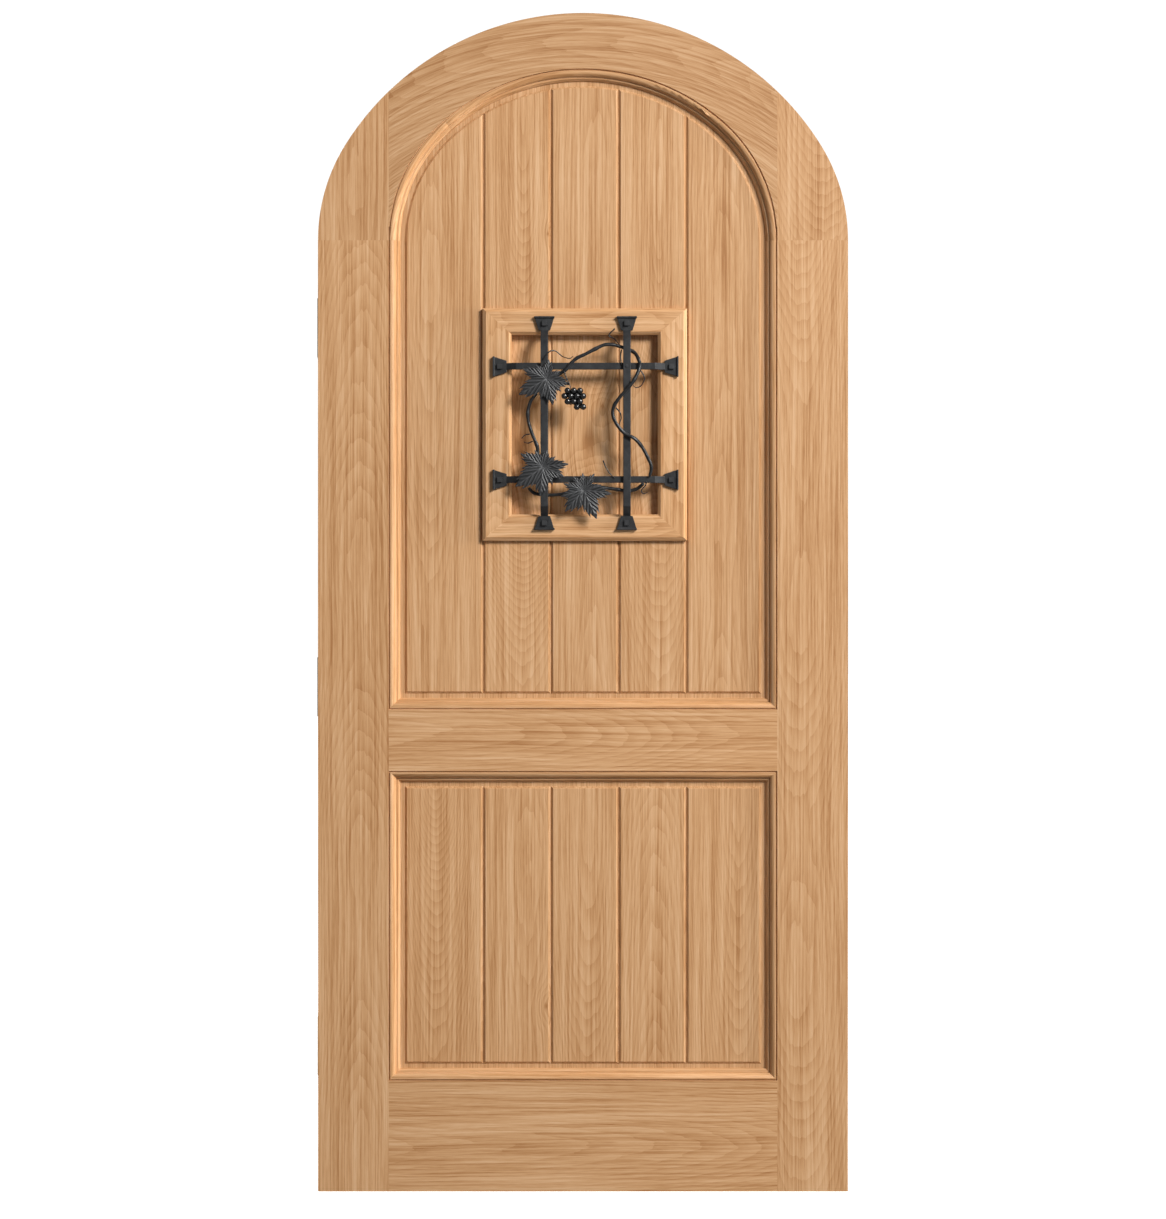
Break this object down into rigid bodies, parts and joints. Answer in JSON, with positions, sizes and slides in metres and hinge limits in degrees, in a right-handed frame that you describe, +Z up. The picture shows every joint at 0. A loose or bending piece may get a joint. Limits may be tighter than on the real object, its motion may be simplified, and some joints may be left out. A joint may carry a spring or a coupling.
{
  "type": "arched door leaf",
  "caption": "Round-headed oak plank-panel door leaf with a square grilled window, a wrought vine over the bars, an inner hatch and butt hinges.",
  "frame": {"origin": "middle of the leaf's bottom edge, halfway through its thickness", "axes": "+X towards the free edge as seen from the front, +Y from the front face to the rear face, +Z up"},
  "size_m": [0.919, 0.1047, 2.032],
  "materials": {
    "oak": "satin",
    "dowel_wood": "plain",
    "black_iron": "blackened",
    "hinge_steel": "satin",
    "small_hardware": "satin"
  },
  "bodies": {
    "frame_hinges": {"hinge_frame_leaf_top": "hinge_steel", "hinge_frame_leaf_middle": "hinge_steel", "hinge_frame_leaf_bottom": "hinge_steel"},
    "door": {"left_stile": "oak", "right_stile": "oak", "left_haunch": "oak", "right_haunch": "oak", "arch_head": "oak", "lock_rail": "oak", "bottom_rail": "oak", "upper_plank_1": "oak", "upper_plank_2": "oak", "upper_plank_3_top": "oak", "upper_plank_3_bottom": "oak", "upper_plank_4": "oak", "upper_plank_5": "oak", "lower_plank_1": "oak", "lower_plank_2": "oak", "lower_plank_3": "oak", "lower_plank_4": "oak", "lower_plank_5": "oak", "arch_moulding": "oak", "upper_left_moulding": "oak", "upper_right_moulding": "oak", "upper_bottom_moulding": "oak", "lower_left_moulding": "oak", "lower_right_moulding": "oak", "lower_top_moulding": "oak", "lower_bottom_moulding": "oak", "rear_upper_mouldings": "oak", "rear_lower_mouldings": "oak", "window_frame_top": "oak", "window_frame_bottom": "oak", "window_frame_left": "oak", "window_frame_right": "oak", "rear_window_frame": "oak", "window_lining": "oak", "frame_dowels": "dowel_wood", "hinge_door_leaves": "hinge_steel", "hinge_pins": "hinge_steel", "hinge_screws": "hinge_steel", "grille_upright_left": "black_iron", "grille_upright_right": "black_iron", "grille_level_top": "black_iron", "grille_level_bottom": "black_iron", "grille_fixings": "black_iron", "vine_stem": "black_iron", "vine_tendrils": "black_iron", "vine_leaf_top": "black_iron", "vine_leaf_left": "black_iron", "vine_leaf_bottom": "black_iron", "grape_cluster": "black_iron", "hatch_fixed_leaves": "small_hardware", "hatch_hinge_pins": "small_hardware"},
    "hatch": {"hatch_boards": "oak", "hatch_battens": "oak", "hatch_knob": "oak", "hatch_hinge_leaves": "small_hardware", "hatch_screws": "small_hardware"},
    "turn_button": {"turn_button": "small_hardware"}
  },
  "joints": [
    {"name": "door_hinge", "type": "hinge", "parent": "frame_hinges", "child": "door", "pos_m": [-0.456, 0.02975, 0.87], "axis": [0, 0, 1], "range_deg": [0, 110]},
    {"name": "hatch_hinge", "type": "hinge", "parent": "door", "child": "hatch", "pos_m": [-0.13025, 0.02585, 1.3225], "axis": [0, 0, 1], "range_deg": [0, 120]},
    {"name": "button_pivot", "type": "hinge", "parent": "door", "child": "turn_button", "pos_m": [0.1495, 0.02535, 1.3225], "axis": [0, 1, 0], "range_deg": [0, 90]}
  ]
}
